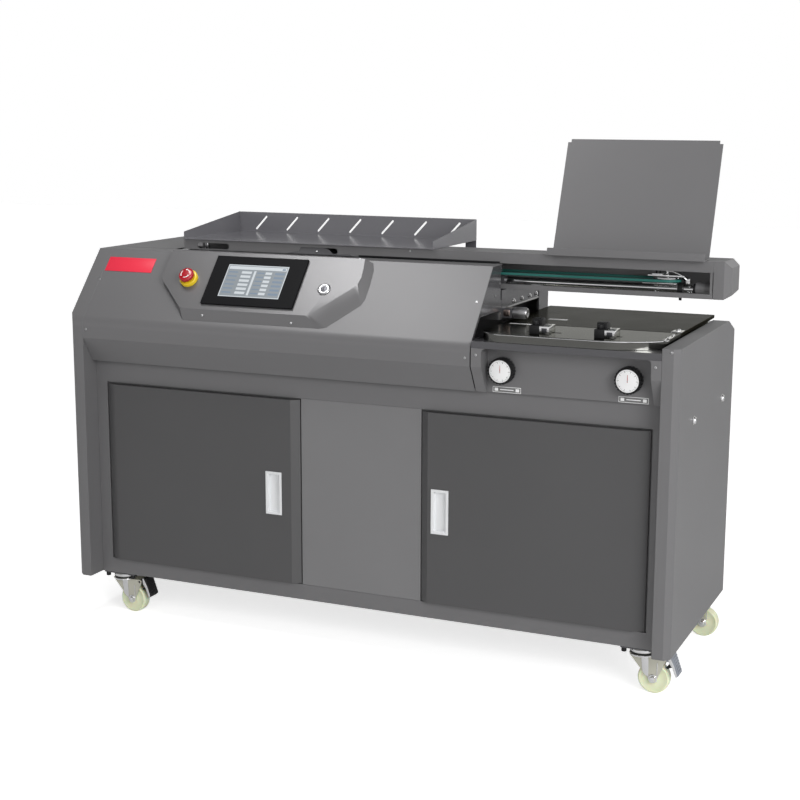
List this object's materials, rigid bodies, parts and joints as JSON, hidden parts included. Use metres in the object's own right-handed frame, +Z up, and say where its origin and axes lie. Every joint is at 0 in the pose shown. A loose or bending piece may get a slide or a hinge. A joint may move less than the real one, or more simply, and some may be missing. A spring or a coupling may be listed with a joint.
{
  "type": "thermal binding machine",
  "caption": "Floor-standing glue binding machine: cabinet on casters with two doors, hinged sloping hood with a control pod, nipping table with dials and an overhead clamp beam.",
  "frame": {"origin": "on the floor, at the middle of the whole machine's footprint, the beam's overhang included", "axes": "+X to the operator's right along the beam, +Y from the front to the back, +Z up"},
  "size_m": [1.656, 0.573, 1.2629],
  "materials": {
    "body_grey": "satin grey paint",
    "door_grey": "satin dark grey paint",
    "black_plastic": "matt black",
    "black_steel": "black paint",
    "steel": "brushed",
    "chrome": "polished",
    "red_plastic": "glossy red",
    "yellow_plastic": "glossy yellow",
    "nylon": "off-white nylon",
    "belt_green": "green belt"
  },
  "bodies": {
    "cabinet": {"left_side_panel": "body_grey", "right_side_panel": "body_grey", "base_pan": "body_grey", "main_deck": "body_grey", "back_panel": "body_grey", "front_frame": "body_grey", "centre_panel": "body_grey", "rear_top_plate": "body_grey", "dial_fascia": "body_grey", "beam_housing": "body_grey", "beam_end_cap": "body_grey", "reading_board": "body_grey", "hood_right_end": "door_grey", "left_drive_post": "door_grey", "milling_motor": "door_grey", "collecting_tray": "black_steel", "hood_hinge_rod": "steel", "deck_plate": "steel", "cover_table": "steel", "glue_tank": "steel", "front_left_caster_plate": "steel", "front_right_caster_plate": "steel", "rear_left_caster_bracket": "steel", "rear_right_caster_bracket": "steel", "guide_rod": "chrome", "drive_belt": "belt_green"},
    "left_door": {"left_door": "door_grey", "left_door_handle": "steel"},
    "right_door": {"right_door": "door_grey", "right_door_handle": "steel"},
    "hood": {"hood_cover": "body_grey", "control_pod": "body_grey", "touch_screen_bezel": "black_plastic", "emergency_stop_ring": "yellow_plastic"},
    "emergency_stop": {"emergency_stop_button": "red_plastic"},
    "key_switch": {"key_switch_barrel": "chrome"},
    "left_dial": {"left_dial_knob": "black_plastic"},
    "left_screw": {"left_lead_screw": "steel"},
    "left_stop": {"left_side_stop": "black_steel"},
    "right_dial": {"right_dial_knob": "black_plastic"},
    "right_screw": {"right_lead_screw": "steel"},
    "right_stop": {"right_side_stop": "black_steel"},
    "nip_plate": {"rear_nip_plate": "steel"},
    "clamp_carriage": {"carriage": "door_grey"},
    "front_jaw": {"front_clamp_jaw": "steel"},
    "clamp_knob": {"clamp_knob": "black_plastic"},
    "left_pulley": {"left_belt_pulley": "chrome"},
    "right_pulley": {"right_belt_pulley": "chrome"},
    "left_roller": {"left_glue_roller": "steel"},
    "right_roller": {"right_glue_roller": "steel"},
    "cutter": {"milling_cutter": "steel"},
    "front_left_swivel": {"front_left_caster_fork": "steel"},
    "front_left_wheel": {"front_left_wheel": "nylon"},
    "front_left_pedal": {"front_left_brake_pedal": "black_plastic"},
    "front_right_swivel": {"front_right_caster_fork": "steel"},
    "front_right_wheel": {"front_right_wheel": "nylon"},
    "front_right_pedal": {"front_right_brake_pedal": "black_plastic"},
    "rear_left_wheel": {"rear_left_wheel": "nylon"},
    "rear_right_wheel": {"rear_right_wheel": "nylon"}
  },
  "joints": [
    {"name": "left_door_hinge", "type": "hinge", "parent": "cabinet", "child": "left_door", "pos_m": [-0.7482, -0.2277, 0.1535], "axis": [0, 0, -1], "range_deg": [0, 100]},
    {"name": "right_door_hinge", "type": "hinge", "parent": "cabinet", "child": "right_door", "pos_m": [0.6962, -0.2277, 0.1535], "axis": [0, 0, 1], "range_deg": [0, 100]},
    {"name": "hood_hinge", "type": "hinge", "parent": "cabinet", "child": "hood", "pos_m": [-0.273, -0.0782, 0.958], "axis": [-1, 0, 0], "range_deg": [0, 70]},
    {"name": "emergency_stop_push", "type": "slide", "parent": "hood", "child": "emergency_stop", "axis": [0, 0.7572, -0.6532], "range_m": [0, 0.004], "stiffness_N_per_m": 2000},
    {"name": "key_turn", "type": "hinge", "parent": "hood", "child": "key_switch", "pos_m": [-0.124, -0.2191, 0.90155], "axis": [0, -0.7572, 0.6532], "range_deg": [-90, 0]},
    {"name": "left_dial_turn", "type": "hinge", "parent": "cabinet", "child": "left_dial", "pos_m": [0.349, -0.2668, 0.7405], "axis": [0, 1, 0], "range_deg": [-1224, 1224]},
    {"name": "left_screw_turn", "type": "hinge", "parent": "cabinet", "child": "left_screw", "pos_m": [0.349, -0.1965, 0.7405], "axis": [1, 0, 0], "range_deg": [-1224, 1224]},
    {"name": "left_stop_slide", "type": "slide", "parent": "cabinet", "child": "left_stop", "axis": [1, 0, 0], "range_m": [-0.034, 0.034]},
    {"name": "right_dial_turn", "type": "hinge", "parent": "cabinet", "child": "right_dial", "pos_m": [0.6499, -0.2668, 0.7405], "axis": [0, 1, 0], "range_deg": [-864, 864]},
    {"name": "right_screw_turn", "type": "hinge", "parent": "cabinet", "child": "right_screw", "pos_m": [0.6499, -0.1965, 0.7405], "axis": [1, 0, 0], "range_deg": [-864, 864]},
    {"name": "right_stop_slide", "type": "slide", "parent": "cabinet", "child": "right_stop", "axis": [1, 0, 0], "range_m": [-0.024, 0.024]},
    {"name": "nip_plate_slide", "type": "slide", "parent": "cabinet", "child": "nip_plate", "axis": [0, 1, 0], "range_m": [0, 0.03]},
    {"name": "carriage_slide", "type": "slide", "parent": "cabinet", "child": "clamp_carriage", "axis": [1, 0, 0], "range_m": [-0.545, 0.33]},
    {"name": "left_pulley_turn", "type": "hinge", "parent": "cabinet", "child": "left_pulley", "pos_m": [-0.568, -0.0215, 0.9405], "axis": [0, 0, 1], "range_deg": [-879.61, 532.61]},
    {"name": "right_pulley_turn", "type": "hinge", "parent": "cabinet", "child": "right_pulley", "pos_m": [0.672, -0.0215, 0.9405], "axis": [0, 0, 1], "range_deg": [-879.61, 532.61]},
    {"name": "clamp_knob_turn", "type": "hinge", "parent": "clamp_carriage", "child": "clamp_knob", "pos_m": [0.3073, -0.0585, 0.85], "axis": [1, 0, 0], "range_deg": [-1800, 450]},
    {"name": "front_jaw_slide", "type": "slide", "parent": "clamp_carriage", "child": "front_jaw", "axis": [0, 1, 0], "range_m": [-0.04, 0.01]},
    {"name": "left_roller_turn", "type": "hinge", "parent": "cabinet", "child": "left_roller", "pos_m": [-0.4362, -0.1405, 0.7825], "axis": [0, 1, 0], "continuous": true},
    {"name": "right_roller_turn", "type": "hinge", "parent": "cabinet", "child": "right_roller", "pos_m": [-0.2798, -0.1405, 0.7825], "axis": [0, 1, 0], "continuous": true},
    {"name": "cutter_turn", "type": "hinge", "parent": "cabinet", "child": "cutter", "pos_m": [0.052, -0.0905, 0.8005], "axis": [0, 0, 1], "continuous": true},
    {"name": "front_left_swivel_turn", "type": "hinge", "parent": "cabinet", "child": "front_left_swivel", "pos_m": [-0.737, -0.1995, 0.1069], "axis": [0, 0, 1], "continuous": true},
    {"name": "front_left_wheel_turn", "type": "hinge", "parent": "front_left_swivel", "child": "front_left_wheel", "pos_m": [-0.707, -0.1995, 0.0375], "axis": [0, 1, 0], "continuous": true},
    {"name": "front_left_pedal_press", "type": "hinge", "parent": "front_left_swivel", "child": "front_left_pedal", "pos_m": [-0.683, -0.1995, 0.087], "axis": [0, 1, 0], "range_deg": [0, 14]},
    {"name": "front_right_swivel_turn", "type": "hinge", "parent": "cabinet", "child": "front_right_swivel", "pos_m": [0.689, -0.1995, 0.1069], "axis": [0, 0, 1], "continuous": true},
    {"name": "front_right_wheel_turn", "type": "hinge", "parent": "front_right_swivel", "child": "front_right_wheel", "pos_m": [0.719, -0.1995, 0.0375], "axis": [0, 1, 0], "continuous": true},
    {"name": "front_right_pedal_press", "type": "hinge", "parent": "front_right_swivel", "child": "front_right_pedal", "pos_m": [0.743, -0.1995, 0.087], "axis": [0, 1, 0], "range_deg": [0, 14]},
    {"name": "rear_left_wheel_turn", "type": "hinge", "parent": "cabinet", "child": "rear_left_wheel", "pos_m": [-0.707, 0.237, 0.0375], "axis": [0, 1, 0], "continuous": true},
    {"name": "rear_right_wheel_turn", "type": "hinge", "parent": "cabinet", "child": "rear_right_wheel", "pos_m": [0.736, 0.237, 0.0375], "axis": [0, 1, 0], "continuous": true}
  ],
  "couplings": [
    {"joint": "left_screw_turn", "follows": "left_dial_turn", "ratio": 1},
    {"joint": "left_stop_slide", "follows": "left_dial_turn", "m_per_rad": -0.0015915},
    {"joint": "right_screw_turn", "follows": "right_dial_turn", "ratio": -1},
    {"joint": "right_stop_slide", "follows": "right_dial_turn", "m_per_rad": 0.0015915},
    {"joint": "left_pulley_turn", "follows": "carriage_slide", "rad_per_m": 28.169},
    {"joint": "right_pulley_turn", "follows": "carriage_slide", "rad_per_m": 28.169},
    {"joint": "clamp_knob_turn", "follows": "front_jaw_slide", "rad_per_m": 785.4},
    {"joint": "right_roller_turn", "follows": "left_roller_turn", "ratio": 1}
  ]
}
